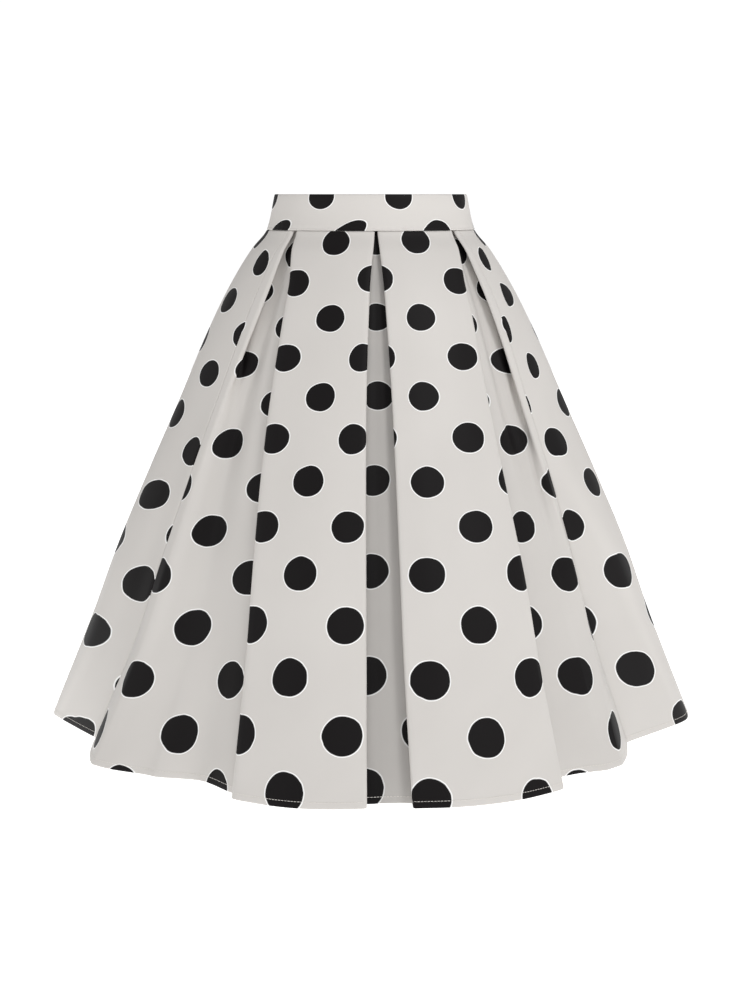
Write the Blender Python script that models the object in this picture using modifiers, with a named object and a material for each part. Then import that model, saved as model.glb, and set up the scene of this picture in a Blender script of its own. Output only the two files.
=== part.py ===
"""A knee-length skirt with seven inverted pleats, a contoured waistband and a concealed back zip.

It holds the hollow form that it has when it is worn: waist and hem are open. Metres, +Z up. The
origin is the middle of the waist opening, level with the waistband's top edge, and the front of
the skirt faces -Y. A drop is a distance below that edge. Every horizontal section is an ellipse,
and the cloth's place on it is an angle from the centre front and a recess inside the ellipse.
"""
from collections import namedtuple
from math import atan2, cos, pi, radians, sin

import bmesh
import bpy
import numpy as np
from mathutils import Matrix, Vector

CLOTH_THICK = 0.0012
BAND_THICK = 0.0022
BAND_DEPTH = 0.0415
SEAM_GAP = 0.0003
# The band and the panels lean, so their edges at the waist seam need this much more room
BAND_LEAN = 0.0007
SKIRT_TOP = BAND_DEPTH + SEAM_GAP + BAND_LEAN
HEM_DROP = 0.638
# Distance between the folded layers of a pleat, at the waist seam and at the hem
LAYER_TOP = 0.0040
LAYER_HEM = 0.0065
FOLD_RADIUS = 0.0025
# Share of a tuck at which the cloth below it turns towards the pleat's bottom
TUCK_TURN = 0.4
# How far a panel's middle swells out of the ellipse at the hem
FACE_CROWN = 0.008
# Slope of the cloth at the side front seams at the hem, which brings the edges closer
VALLEY_SLOPE = 0.45

ZIP_GAP = 0.0014
ZIP_LENGTH = 0.210
TAPE_TOP = 0.0135
TAPE_WIDE = 0.020
TAPE_THICK = 0.0009
COIL_WIDE = 0.0026
COIL_THICK = 0.0014
SLIDER_DROP = 0.0075
SLIDER_TALL = 0.0090
SLIDER_WIDE = 0.0060
SLIDER_THICK = 0.0030
NECK_WIDE = 0.0008
NECK_FOOT = 0.0012
NECK_HEAD = 0.0037
PLATE_FOOT = 0.0014
PLATE_THICK = 0.0005
PIN_RADIUS = 0.00055
EYE_HOLE = 0.00085
EYE_RADIUS = 0.00135
EYE_WIDE = 0.0024
EAR_THICK = 0.0008
PIN_OUT = CLOTH_THICK / 2 + SEAM_GAP + EYE_RADIUS
EAR_INNER = EYE_WIDE / 2 + SEAM_GAP
EAR_OUTER = EAR_INNER + EAR_THICK
PULL_LONG = 0.0150
PULL_WIDE = 0.0019
PULL_THICK = 0.0010
PULL_WAIST = 0.0045
PULL_SPREAD = 2.1
PULL_CORNER = 0.0018
# How far the tab runs up into the wall of its eye
PULL_ROOT = 0.0003

# The body that the cloth follows, a row for each measured level
Section = namedtuple("Section", "drop half_width depth_ratio")
SECTIONS = (
    Section(0.000, 0.1134, 0.810),
    Section(0.0415, 0.1232, 0.815),
    Section(0.064, 0.1410, 0.825),
    Section(0.113, 0.1706, 0.840),
    Section(0.162, 0.1943, 0.850),
    Section(0.246, 0.2300, 0.872),
    Section(0.320, 0.2622, 0.883),
    Section(0.423, 0.3052, 0.898),
    Section(0.497, 0.3318, 0.905),
    Section(HEM_DROP, 0.3905, 0.920),
)

# One pleat, from its edge nearest the centre front outwards. Angles are degrees from the pleat's
# apex, tucks and recesses are millimetres. The near edge folds back under the panel by near_tuck.
# The cloth then runs below the opening: under, deep and rise. It folds over again at the crest by
# crest_tuck, or rolls over it as a flute where crest_open is 1. The valley is the dip beyond.
Pleat = namedtuple(
    "Pleat",
    "drop near near_recess near_tuck under deep deep_recess rise rise_recess"
    " crest crest_recess crest_tuck crest_open valley valley_recess shoulder",
)
CENTRE = (
    Pleat(SKIRT_TOP, -0.9, 0, 36, 8, -0.2, 8, 0.2, 8, 0.9, 0, 36, 0, 6, 0, 12),
    Pleat(0.105, -3.4, 0, 36, 9, -0.8, 10, 1.2, 10, 2.4, 0, 36, 0, 7, 0, 12),
    Pleat(0.250, -4.4, 0, 35, 12, -1.2, 14, 1.6, 14, 3.2, 0, 35, 0, 8, 0, 12),
    Pleat(0.450, -4.1, 0, 34, 15, -1.3, 17, 1.5, 17, 3.0, 0, 34, 0, 8, 0, 12),
    Pleat(HEM_DROP, -3.9, 2, 33, 17, -1.3, 19, 1.4, 19, 3.3, 0, 33, 0, 8, 0, 12),
)
LEFT_SIDE = (
    Pleat(SKIRT_TOP, -1.2, 0, 38, 8, -0.3, 8, 0.3, 8, 1.2, 0, 34, 0, 5.2, 0, 12),
    Pleat(0.105, -11, 0, 38, 7, -7, 10, -4, 15, -2.2, 0, 30, 0, 4.2, 0, 12),
    Pleat(0.250, -15.3, 0, 34, 7, -9, 11, -2, 20, 3.0, 0, 12, 0.8, 6.4, 0, 16),
    Pleat(0.450, -20.2, 1, 32, 9, -12, 22, -6, 24, 5.0, 2, 6, 1, 9.8, 9, 26),
    Pleat(HEM_DROP, -22.2, 8, 30, 24, -12, 47, -4, 29, 10, 6, 4, 1, 25.9, 46, 44),
)
RIGHT_SIDE = (
    Pleat(SKIRT_TOP, -1.2, 0, 38, 8, -0.3, 8, 0.3, 8, 1.2, 0, 34, 0, 5.2, 0, 12),
    Pleat(0.105, -10.2, 0, 38, 7, -6.5, 10, -3.5, 16, -1.6, 0, 30, 0, 3.6, 0, 12),
    Pleat(0.250, -15, 0, 34, 12, -9, 14, -5, 22, -0.6, 2, 16, 0.5, 1.9, 2, 12),
    Pleat(0.450, -17.2, 2, 30, 22, -12, 23, -5, 17, 0.8, 16, 6, 1, 7.4, 33, 24),
    Pleat(HEM_DROP, -18.2, 8, 28, 38, -11, 39, -5, 25, -1.5, 24, 4, 1, 13.3, 58, 34),
)
BACK = (
    Pleat(SKIRT_TOP, -1.3, 0, 34, 8, -0.3, 8, 0.3, 8, 1.3, 0, 32, 0, 6, 0, 10),
    Pleat(0.105, -5.5, 0, 33, 10, -1, 12, 3, 12, 5.0, 0, 31, 0, 9, 0, 13),
    Pleat(0.250, -8, 0, 30, 18, -2.5, 18, 4, 15, 7.6, 0, 28, 0, 12, 0, 16),
    Pleat(0.450, -9.5, 1, 28, 26, -4, 26, 4, 24, 9.2, 1, 27, 0, 13, 0, 18),
    Pleat(HEM_DROP, -11.4, 5, 27, 38, -5, 34, 4, 30, 11, 5, 27, 0, 15, 0, 19),
)

# Where the pleats start at the waistband, in degrees, and how far each drifts by the hem
Place = namedtuple("Place", "table apex drift")
FRONT_PLACES = (Place(LEFT_SIDE, -48.5, 0), Place(CENTRE, 0, 0), Place(RIGHT_SIDE, 48.5, 0))
BACK_PLACES = (Place(BACK, 100.5, 9.7), Place(BACK, 152.5, 4.2))

# Levels of the lofted panels, closer together where the hip curves
LEVELS = (SKIRT_TOP, 0.056, 0.075, 0.105, 0.15, 0.21, 0.28, 0.36, 0.45, 0.545, HEM_DROP)
FACE_STEPS = 6
VALLEY_POINT = 20
SIDE_SEAM = 90.0

Finish = namedtuple("Finish", "name colour roughness metallic")
CLOTH = Finish("ivory satin cloth", (0.84, 0.82, 0.79), 0.55, 0.0)
TAPE = Finish("ivory woven tape", (0.80, 0.78, 0.74), 0.8, 0.0)
ENAMEL = Finish("ivory enamelled metal", (0.82, 0.80, 0.76), 0.35, 0.6)


def smooth(x, known, values):
    """A smooth curve through the values that never swings past them."""
    known = np.asarray(known, float)
    values = np.asarray(values, float)
    width = np.diff(known)
    slope = np.diff(values) / width
    tangent = np.zeros(len(known))
    tangent[0], tangent[-1] = slope[0], slope[-1]
    for i in range(1, len(known) - 1):
        if slope[i - 1] * slope[i] > 0:
            before, after = 2 * width[i] + width[i - 1], width[i] + 2 * width[i - 1]
            tangent[i] = (before + after) / (before / slope[i - 1] + after / slope[i])
    i = int(np.clip(np.searchsorted(known, x) - 1, 0, len(width) - 1))
    s = (x - known[i]) / width[i]
    rise = (3 - 2 * s) * s * s
    return float(
        values[i] + rise * (values[i + 1] - values[i])
        + width[i] * s * (1 - s) * ((1 - s) * tangent[i] - s * tangent[i + 1])
    )


def body(drop):
    """Half the width and half the depth of the ellipse at this drop."""
    drops = [row.drop for row in SECTIONS]
    half_width = smooth(drop, drops, [row.half_width for row in SECTIONS])
    return half_width, half_width * smooth(drop, drops, [row.depth_ratio for row in SECTIONS])


def on_body(drop, angle, recess):
    """The point at this angle in degrees, moved in from the ellipse by the recess in metres."""
    half_width, half_depth = body(drop)
    turn = radians(angle)
    inward = Vector((-sin(turn) * half_depth, cos(turn) * half_width, 0)).normalized()
    return Vector((half_width * sin(turn), -half_depth * cos(turn), -drop)) + inward * recess


def degrees_of(length, drop, angle):
    """The angle that a length along the ellipse takes up at this place."""
    half_width, half_depth = body(drop)
    turn = radians(angle)
    return length / (Vector((half_width * cos(turn), half_depth * sin(turn))).length * pi / 180)


def share_down(drop):
    return (drop - SKIRT_TOP) / (HEM_DROP - SKIRT_TOP)


def pleat_at(place, drop):
    """The pleat's row at this drop, read between the rows of its table."""
    drops = [row.drop for row in place.table]
    values = [smooth(drop, drops, [row[i] for row in place.table])
              for i in range(1, len(Pleat._fields))]
    return Pleat(drop, *values)


def pleat_path(place, drop):
    """Angle and recess of the points that the cloth passes through one pleat, front to back."""
    row = pleat_at(place, drop)
    side = -1 if place.apex < 0 else 1
    apex = abs(place.apex) + place.drift * share_down(drop)
    near, crest = apex + row.near, apex + row.crest
    rise = apex + row.rise
    layer = LAYER_TOP + (LAYER_HEM - LAYER_TOP) * share_down(drop)
    mm = degrees_of(0.001, drop, apex)
    turn = FOLD_RADIUS * 1000 * mm
    tuck, far_tuck = row.near_tuck * mm, row.crest_tuck * mm
    top, under = row.near_recess / 1000, row.under / 1000
    path = [
        (near - turn, top),
        (near, top + layer / 2),
        (near - turn, top + layer),
        (near - tuck / 2, top + layer),
        (near - tuck + turn, top + layer),
        (near - tuck, top + 1.5 * layer),
        (near - tuck + turn, top + 2 * layer),
        (near - tuck * TUCK_TURN, max(top + 2 * layer, 0.5 * (top + 2 * layer + under))),
        (near + min(turn, (crest - near) / 4), max(top + 2 * layer, under)),
        (apex + row.deep, row.deep_recess / 1000),
        (rise, row.rise_recess / 1000),
    ]
    high = row.crest_recess / 1000
    closed = [
        (crest + far_tuck * TUCK_TURN, high + 2 * layer),
        (crest + far_tuck - turn, high + 2 * layer),
        (crest + far_tuck, high + 1.5 * layer),
        (crest + far_tuck - turn, high + layer),
        (crest + far_tuck / 2, high + layer),
        (crest + turn, high + layer),
        (crest, high + layer / 2),
        (crest + turn, high),
    ]
    for i, (angle, recess) in enumerate(closed):
        share = (i + 1) / len(closed)
        eased = (3 - 2 * share) * share * share
        open_angle = rise + (crest + turn - rise) * share
        open_recess = (row.rise_recess / 1000) * (1 - eased) + high * eased
        opening = row.crest_open
        path.append((
            angle + (open_angle - angle) * opening,
            recess + (open_recess - recess) * opening,
        ))
    path.append(((crest + turn + apex + row.valley) / 2, (high + row.valley_recess / 1000) / 2))
    path.append((apex + row.valley, row.valley_recess / 1000))
    path.append((apex + row.shoulder, 0.0))
    return [(side * angle, recess) for angle, recess in path]


def face(start, end, drop):
    """The flat of a panel between two pleats, a little fuller than the ellipse."""
    crown = FACE_CROWN * share_down(drop)
    points = []
    for i in range(1, FACE_STEPS):
        s = i / FACE_STEPS
        angle = start[0] + (end[0] - start[0]) * s
        points.append((angle, start[1] + (end[1] - start[1]) * s - crown * sin(pi * s)))
    return points


def seam_trim(drop, angle):
    """How far a panel stops short of the side front seam, which bends inwards towards the hem."""
    return degrees_of(SEAM_GAP / 2 + CLOTH_THICK / 2 * VALLEY_SLOPE * share_down(drop), drop, angle)


def front_path(drop):
    left, centre, right = (pleat_path(place, drop) for place in FRONT_PLACES)
    left = left[VALLEY_POINT::-1]
    centre = centre[:VALLEY_POINT - 1]
    right = right[:VALLEY_POINT + 1]
    trim = seam_trim(drop, left[0][0])
    left[0] = (left[0][0] + trim, left[0][1])
    right[-1] = (right[-1][0] - trim, right[-1][1])
    return left + face(left[-1], centre[0], drop) + centre + face(centre[-1], right[0], drop) + right


def back_path(side, drop):
    """From the side front seam round to the centre back."""
    front = FRONT_PLACES[0 if side < 0 else 2]
    start = pleat_path(front, drop)[VALLEY_POINT:]
    start = [(abs(angle), recess) for angle, recess in start]
    start[0] = (start[0][0] + seam_trim(drop, start[0][0]), start[0][1])
    first, second = (pleat_path(place, drop)[:VALLEY_POINT - 1] for place in BACK_PLACES)
    gap = max(SEAM_GAP, ZIP_GAP * (1 - drop / ZIP_LENGTH))
    end = (180 - degrees_of(gap / 2, drop, 180), 0.0)
    path = start + face(start[-1], first[0], drop) + first + face(first[-1], second[0], drop)
    path += second + face(second[-1], end, drop) + [end]
    return [(side * angle, recess) for angle, recess in path]


def material(piece, finish):
    """The piece's own material. Colours are written as they are seen on a screen."""
    made = bpy.data.materials.new(f"{piece} {finish.name}")
    made.use_nodes = True
    shader = made.node_tree.nodes["Principled BSDF"]
    shader.inputs["Base Color"].default_value = (*[c ** 2.2 for c in finish.colour], 1)
    shader.inputs["Roughness"].default_value = finish.roughness
    shader.inputs["Metallic"].default_value = finish.metallic
    return made


def keep(made, finish):
    """Puts a piece in the skirt's own collection alone and gives it its material."""
    for home in list(made.users_collection):
        home.objects.unlink(made)
    bpy.data.collections["pleated_skirt"].objects.link(made)
    made.data.materials.append(material(made.name, finish))


def wall(name, rows, thick, finish):
    """A cloth wall lofted through rows of points, given its thickness by Solidify."""
    shape = bmesh.new()
    lines = [[shape.verts.new(point) for point in row] for row in rows]
    for upper, lower in zip(lines, lines[1:]):
        for i in range(len(upper) - 1):
            shape.faces.new((upper[i], lower[i], lower[i + 1], upper[i + 1]))
    mesh = bpy.data.meshes.new(name)
    shape.to_mesh(mesh)
    shape.free()
    mesh.shade_smooth()
    made = bpy.data.objects.new(name, mesh)
    keep(made, finish)
    solid = made.modifiers.new("Cloth", "SOLIDIFY")
    solid.thickness = thick
    solid.offset = 0
    solid.use_even_offset = True


def panel(name, path_at):
    rows = [[on_body(drop, *point) for point in path_at(drop)] for drop in LEVELS]
    wall(name, rows, CLOTH_THICK, CLOTH)


def band(name, start, end, steps):
    """A piece of the waistband, its outer face level with the skirt's."""
    rows = []
    for drop in (0, BAND_DEPTH / 3, BAND_DEPTH * 2 / 3, BAND_DEPTH):
        angles = np.linspace(start, end, steps + 1)
        rows.append([on_body(drop, angle, BAND_THICK / 2 - CLOTH_THICK / 2) for angle in angles])
    wall(name, rows, BAND_THICK, CLOTH)


def strip(name, wide, thick, behind, finish):
    """A straight strip down the inside of the centre back seam."""
    rows = []
    drops = [TAPE_TOP, BAND_DEPTH * 2 / 3, *[drop for drop in LEVELS if drop <= ZIP_LENGTH]]
    for drop in drops:
        inner = BAND_THICK - CLOTH_THICK / 2
        if drop > SKIRT_TOP:
            inner = CLOTH_THICK
        recess = inner + SEAM_GAP + behind + thick / 2
        edge = degrees_of(wide / 2, drop, 180)
        rows.append([on_body(drop, 180 + edge * s, recess) for s in (-1, 0, 1)])
    wall(name, rows, thick, finish)


def zip_frame():
    """Turns local axes, X across, Y out of the cloth and Z up it, to the zip slider's place."""
    upper, lower = on_body(0, 180, 0), on_body(BAND_DEPTH, 180, 0)
    lean = atan2(lower.y - upper.y, BAND_DEPTH)
    return Matrix.Translation(on_body(SLIDER_DROP, 180, 0)) @ Matrix.Rotation(lean, 4, "X")


def block(name, low, high):
    """A box between two corners of the slider's own frame."""
    bpy.ops.mesh.primitive_cube_add(size=1)
    made = bpy.context.object
    made.name = name
    middle = (Vector(low) + Vector(high)) / 2
    size = Vector(high) - Vector(low)
    made.data.transform(Matrix.Translation(middle) @ Matrix.Diagonal((*size, 1)))
    made.data.transform(zip_frame())
    return made


def join(target, others):
    """Unites the others with the target, and removes them."""
    for other in others:
        union = target.modifiers.new("Union", "BOOLEAN")
        union.operation = "UNION"
        union.object = other
        bpy.context.view_layer.objects.active = target
        bpy.ops.object.modifier_apply(modifier=union.name)
        bpy.data.objects.remove(other)


def rod(name, radius, length, sides):
    """A cylinder about the hinge line, in the frame of the pull."""
    bpy.ops.mesh.primitive_cylinder_add(vertices=sides, radius=radius, depth=length)
    made = bpy.context.object
    made.name = name
    made.data.transform(Matrix.Rotation(pi / 2, 4, "Y"))
    return made


def zip_slider():
    """The body behind the slot, its neck, and two ears that hold the pull's pin outside."""
    behind = BAND_THICK - CLOTH_THICK / 2 + SEAM_GAP
    foot = CLOTH_THICK / 2 + SEAM_GAP
    made = block(
        "zip_slider",
        (-SLIDER_WIDE / 2, -behind - SLIDER_THICK, -SLIDER_TALL / 2),
        (SLIDER_WIDE / 2, -behind, SLIDER_TALL / 2),
    )
    neck = block(
        "neck",
        (-NECK_WIDE / 2, -behind - SLIDER_THICK / 2, NECK_FOOT),
        (NECK_WIDE / 2, foot + PLATE_THICK / 2, NECK_HEAD),
    )
    plate = block(
        "plate", (-EAR_OUTER, foot, PLATE_FOOT), (EAR_OUTER, foot + PLATE_THICK, NECK_HEAD)
    )
    ears = [
        block(
            "ear",
            (left, foot + PLATE_THICK / 2, -PIN_RADIUS * 2),
            (left + EAR_THICK, PIN_OUT + PIN_RADIUS * 2, NECK_HEAD),
        )
        for left in (-EAR_OUTER, EAR_INNER)
    ]
    pin = rod("pin", PIN_RADIUS, EAR_INNER + EAR_OUTER, 16)
    pin.data.transform(zip_frame() @ Matrix.Translation((0, PIN_OUT, 0)))
    join(made, [neck, plate, *ears, pin])
    keep(made, ENAMEL)


def pull_tab():
    """The flat tab below the eye, wider and rounded at its lower end."""
    bpy.ops.mesh.primitive_cube_add(size=1)
    tab = bpy.context.object
    tab.data.transform(Matrix.Diagonal((PULL_WIDE, PULL_THICK, PULL_LONG - EYE_RADIUS, 1)))
    tab.data.transform(Matrix.Translation((0, 0, PULL_ROOT - (PULL_LONG + EYE_RADIUS) / 2)))
    shape = bmesh.new()
    shape.from_mesh(tab.data)
    bmesh.ops.bisect_plane(shape, geom=shape.faces[:] + shape.edges[:] + shape.verts[:],
                           plane_co=(0, 0, -PULL_WAIST), plane_no=(0, 0, 1))
    lowest = min(vert.co.z for vert in shape.verts)
    end = [vert for vert in shape.verts if vert.co.z - lowest < 1e-6]
    for vert in end:
        vert.co.x *= PULL_SPREAD
    corners = [edge for edge in shape.edges
               if all(vert in end for vert in edge.verts)
               and abs(edge.verts[0].co.x - edge.verts[1].co.x) < 1e-6]
    bmesh.ops.bevel(shape, geom=corners, offset=PULL_CORNER, segments=5, affect="EDGES")
    shape.to_mesh(tab.data)
    shape.free()
    return tab


def zip_pull():
    """A tab with an eye round the slider's pin, its origin on the hinge."""
    made = rod("zip_pull", EYE_RADIUS, EYE_WIDE, 24)
    join(made, [pull_tab()])
    hole = rod("hole", EYE_HOLE, EYE_WIDE * 2, 24)
    cut = made.modifiers.new("Eye", "BOOLEAN")
    cut.operation = "DIFFERENCE"
    cut.object = hole
    bpy.context.view_layer.objects.active = made
    bpy.ops.object.modifier_apply(modifier=cut.name)
    bpy.data.objects.remove(hole)
    made.matrix_world = zip_frame() @ Matrix.Translation((0, PIN_OUT, 0))
    keep(made, ENAMEL)


def main():
    for old in list(bpy.data.objects):
        bpy.data.objects.remove(old)
    skirt = bpy.data.collections.new("pleated_skirt")
    bpy.context.scene.collection.children.link(skirt)
    gap = degrees_of(SEAM_GAP / 2, 0, SIDE_SEAM)
    zip_half = degrees_of(ZIP_GAP / 2, 0, 180)
    band("waistband_front", -SIDE_SEAM + gap, SIDE_SEAM - gap, 28)
    band("waistband_back_right", SIDE_SEAM + gap, 180 - zip_half, 14)
    band("waistband_back_left", -180 + zip_half, -SIDE_SEAM - gap, 14)
    panel("front_panel", front_path)
    panel("back_right_panel", lambda drop: back_path(1, drop))
    panel("back_left_panel", lambda drop: back_path(-1, drop)[::-1])
    strip("zip_tape", TAPE_WIDE, TAPE_THICK, 0, TAPE)
    strip("zip_coil", COIL_WIDE, COIL_THICK, TAPE_THICK + 3 * SEAM_GAP, TAPE)
    zip_slider()
    zip_pull()


main()
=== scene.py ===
"""A pleated skirt of printed satin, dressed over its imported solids.

Metres, +Z up, the front faces -Y, and z is 0 at the waistband's top edge. A drop is a distance
below that edge. Every horizontal section is an ellipse, and the cloth's place on it is an angle
from the centre front and a recess inside the ellipse.
"""
from collections import namedtuple
from math import cos, pi, radians, sin

import bmesh
import bpy
import numpy as np
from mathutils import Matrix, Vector


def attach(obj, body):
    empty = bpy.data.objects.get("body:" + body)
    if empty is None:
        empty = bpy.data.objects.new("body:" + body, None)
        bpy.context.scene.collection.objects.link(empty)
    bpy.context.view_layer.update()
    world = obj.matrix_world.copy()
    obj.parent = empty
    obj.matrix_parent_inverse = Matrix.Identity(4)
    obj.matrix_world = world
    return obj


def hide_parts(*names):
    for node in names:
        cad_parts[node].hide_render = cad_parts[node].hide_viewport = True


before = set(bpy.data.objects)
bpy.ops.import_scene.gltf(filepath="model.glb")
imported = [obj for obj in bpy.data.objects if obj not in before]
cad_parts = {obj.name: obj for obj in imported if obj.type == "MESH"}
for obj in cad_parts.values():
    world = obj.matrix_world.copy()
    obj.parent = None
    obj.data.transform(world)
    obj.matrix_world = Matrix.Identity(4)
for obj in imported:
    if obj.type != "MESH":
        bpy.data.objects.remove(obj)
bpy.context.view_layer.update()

bl_info = {
    "name": "Pleated Skirt",
    "version": (1, 0, 0),
    "blender": (4, 5, 0),
    "location": "3D View > Sidebar > Skirt",
    "description": "Builds a pleated dot-print skirt with its waistband, stitches and zip",
    "category": "Add Mesh",
}

# The solids' own measures, from which the cloth takes its form
CLOTH_THICK = 0.0012
BAND_THICK = 0.0022
BAND_DEPTH = 0.0415
SEAM_GAP = 0.0003
SKIRT_TOP = 0.0425
HEM_DROP = 0.638
LAYER_TOP = 0.0040
LAYER_HEM = 0.0065
FOLD_RADIUS = 0.0025
TUCK_TURN = 0.4
FACE_CROWN = 0.008
VALLEY_SLOPE = 0.45
ZIP_GAP = 0.0014
ZIP_LENGTH = 0.210

Section = namedtuple("Section", "drop half_width depth_ratio")
SECTIONS = (
    Section(0.000, 0.1134, 0.810),
    Section(0.0415, 0.1232, 0.815),
    Section(0.064, 0.1410, 0.825),
    Section(0.113, 0.1706, 0.840),
    Section(0.162, 0.1943, 0.850),
    Section(0.246, 0.2300, 0.872),
    Section(0.320, 0.2622, 0.883),
    Section(0.423, 0.3052, 0.898),
    Section(0.497, 0.3318, 0.905),
    Section(HEM_DROP, 0.3905, 0.920),
)

# One pleat, from its edge nearest the centre front outwards. Angles are degrees from the pleat's
# apex, tucks and recesses are millimetres. The near edge folds back under the panel by near_tuck.
# The cloth then runs below the opening: under, deep and rise. It folds over again at the crest by
# crest_tuck, or rolls over it as a flute where crest_open is 1. The valley is the dip beyond.
Pleat = namedtuple(
    "Pleat",
    "drop near near_recess near_tuck under deep deep_recess rise rise_recess"
    " crest crest_recess crest_tuck crest_open valley valley_recess shoulder",
)
CENTRE = (
    Pleat(SKIRT_TOP, -0.9, 0, 36, 8, -0.2, 8, 0.2, 8, 0.9, 0, 36, 0, 6, 0, 12),
    Pleat(0.105, -3.4, 0, 36, 9, -0.8, 10, 1.2, 10, 2.4, 0, 36, 0, 7, 0, 12),
    Pleat(0.250, -4.4, 0, 35, 12, -1.2, 14, 1.6, 14, 3.2, 0, 35, 0, 8, 0, 12),
    Pleat(0.450, -4.1, 0, 34, 15, -1.3, 17, 1.5, 17, 3.0, 0, 34, 0, 8, 0, 12),
    Pleat(HEM_DROP, -3.9, 2, 33, 17, -1.3, 19, 1.4, 19, 3.3, 0, 33, 0, 8, 0, 12),
)
LEFT_SIDE = (
    Pleat(SKIRT_TOP, -1.2, 0, 38, 8, -0.3, 8, 0.3, 8, 1.2, 0, 34, 0, 5.2, 0, 12),
    Pleat(0.105, -11, 0, 38, 7, -7, 10, -3, 15, -1.0, 0, 30, 0, 4.8, 0, 12),
    Pleat(0.250, -15.3, 0, 34, 7, -9, 11, -2, 20, 3.0, 0, 12, 0.8, 6.4, 0, 16),
    Pleat(0.450, -20.2, 1, 32, 9, -12, 22, -6, 24, 5.0, 2, 6, 1, 9.8, 9, 26),
    Pleat(HEM_DROP, -22.2, 8, 30, 24, -12, 47, -4, 29, 10, 6, 4, 1, 25.9, 46, 44),
)
RIGHT_SIDE = (
    Pleat(SKIRT_TOP, -1.2, 0, 38, 8, -0.3, 8, 0.3, 8, 1.2, 0, 34, 0, 5.2, 0, 12),
    Pleat(0.105, -10.2, 0, 38, 7, -6.5, 10, -2.5, 16, -0.5, 0, 30, 0, 4.2, 0, 12),
    Pleat(0.250, -15, 0, 34, 12, -9, 14, -5, 22, -0.6, 2, 16, 0.5, 1.9, 2, 12),
    Pleat(0.450, -17.2, 2, 30, 22, -12, 23, -5, 17, 0.8, 16, 6, 1, 7.4, 33, 24),
    Pleat(HEM_DROP, -18.2, 8, 28, 38, -11, 39, -5, 25, -1.5, 24, 4, 1, 13.3, 58, 34),
)
BACK = (
    Pleat(SKIRT_TOP, -1.3, 0, 34, 8, -0.3, 8, 0.3, 8, 1.3, 0, 32, 0, 6, 0, 10),
    Pleat(0.105, -5.5, 0, 33, 10, -1, 12, 3, 12, 5.0, 0, 31, 0, 9, 0, 13),
    Pleat(0.250, -8, 0, 30, 18, -2.5, 18, 4, 15, 7.6, 0, 28, 0, 12, 0, 16),
    Pleat(0.450, -9.5, 1, 28, 26, -4, 26, 4, 24, 9.2, 1, 27, 0, 13, 0, 18),
    Pleat(HEM_DROP, -11.4, 5, 27, 38, -5, 34, 4, 30, 11, 5, 27, 0, 15, 0, 19),
)
Place = namedtuple("Place", "table apex drift")
FRONT_PLACES = (Place(LEFT_SIDE, -48.5, 0), Place(CENTRE, 0, 0), Place(RIGHT_SIDE, 48.5, 0))
BACK_PLACES = (Place(BACK, 100.5, 9.7), Place(BACK, 152.5, 4.2))
# Steps of the path across a face between two pleats, and the valley's place in a pleat's path
FACE_STEPS = 6
VALLEY_POINT = 20


def smooth(x, known, values):
    """Smooth curves through the values, a column each, that never swing past them."""
    known = np.asarray(known, float)
    values = np.asarray(values, float).reshape(len(known), -1)
    width = np.diff(known)[:, None]
    slope = np.diff(values, axis=0) / width
    tangent = np.zeros_like(values)
    tangent[0], tangent[-1] = slope[0], slope[-1]
    before, after = 2 * width[1:] + width[:-1], width[1:] + 2 * width[:-1]
    turning = slope[:-1] * slope[1:] <= 0
    first = np.where(turning, 1, slope[:-1])
    second = np.where(turning, 1, slope[1:])
    tangent[1:-1] = np.where(turning, 0, (before + after) / (before / first + after / second))
    x = np.atleast_1d(np.asarray(x, float))
    i = np.clip(np.searchsorted(known, x) - 1, 0, len(width) - 1)
    s = ((x - known[i]) / width[i, 0])[:, None]
    rise = (3 - 2 * s) * s * s
    return (
        values[i] + rise * (values[i + 1] - values[i])
        + width[i] * s * (1 - s) * ((1 - s) * tangent[i] - s * tangent[i + 1])
    )


def read_table(table, at):
    """What a table's columns give at this place, held at its ends. The first holds the places."""
    at = np.clip(at, table[0][0], table[-1][0])
    return smooth(at, [row[0] for row in table], [row[1:] for row in table])[0]


def body(drop):
    """Half the width and half the depth of the ellipse at this drop."""
    half_width, ratio = read_table(SECTIONS, drop)
    return half_width, half_width * ratio


def on_body(drop, angle, recess):
    """Points at these angles in degrees, moved in from the ellipse by the recess in metres."""
    half_width, half_depth = body(drop)
    turn = np.radians(angle)
    inward = np.stack([-np.sin(turn) * half_depth, np.cos(turn) * half_width, turn * 0], -1)
    inward /= np.linalg.norm(inward, axis=-1, keepdims=True)
    place = np.stack([np.sin(turn) * half_width, -np.cos(turn) * half_depth, turn * 0 - drop], -1)
    return place + inward * np.asarray(recess)[..., None]


def degrees_of(length, drop, angle):
    """The angle that a length along the ellipse takes up at this place."""
    half_width, half_depth = body(drop)
    turn = radians(angle)
    return length / (np.hypot(half_width * cos(turn), half_depth * sin(turn)) * pi / 180)


def share_down(drop):
    """How far down the panels a drop lies, from 0 at the waist seam to 1 at the hem."""
    return (drop - SKIRT_TOP) / (HEM_DROP - SKIRT_TOP)


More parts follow.
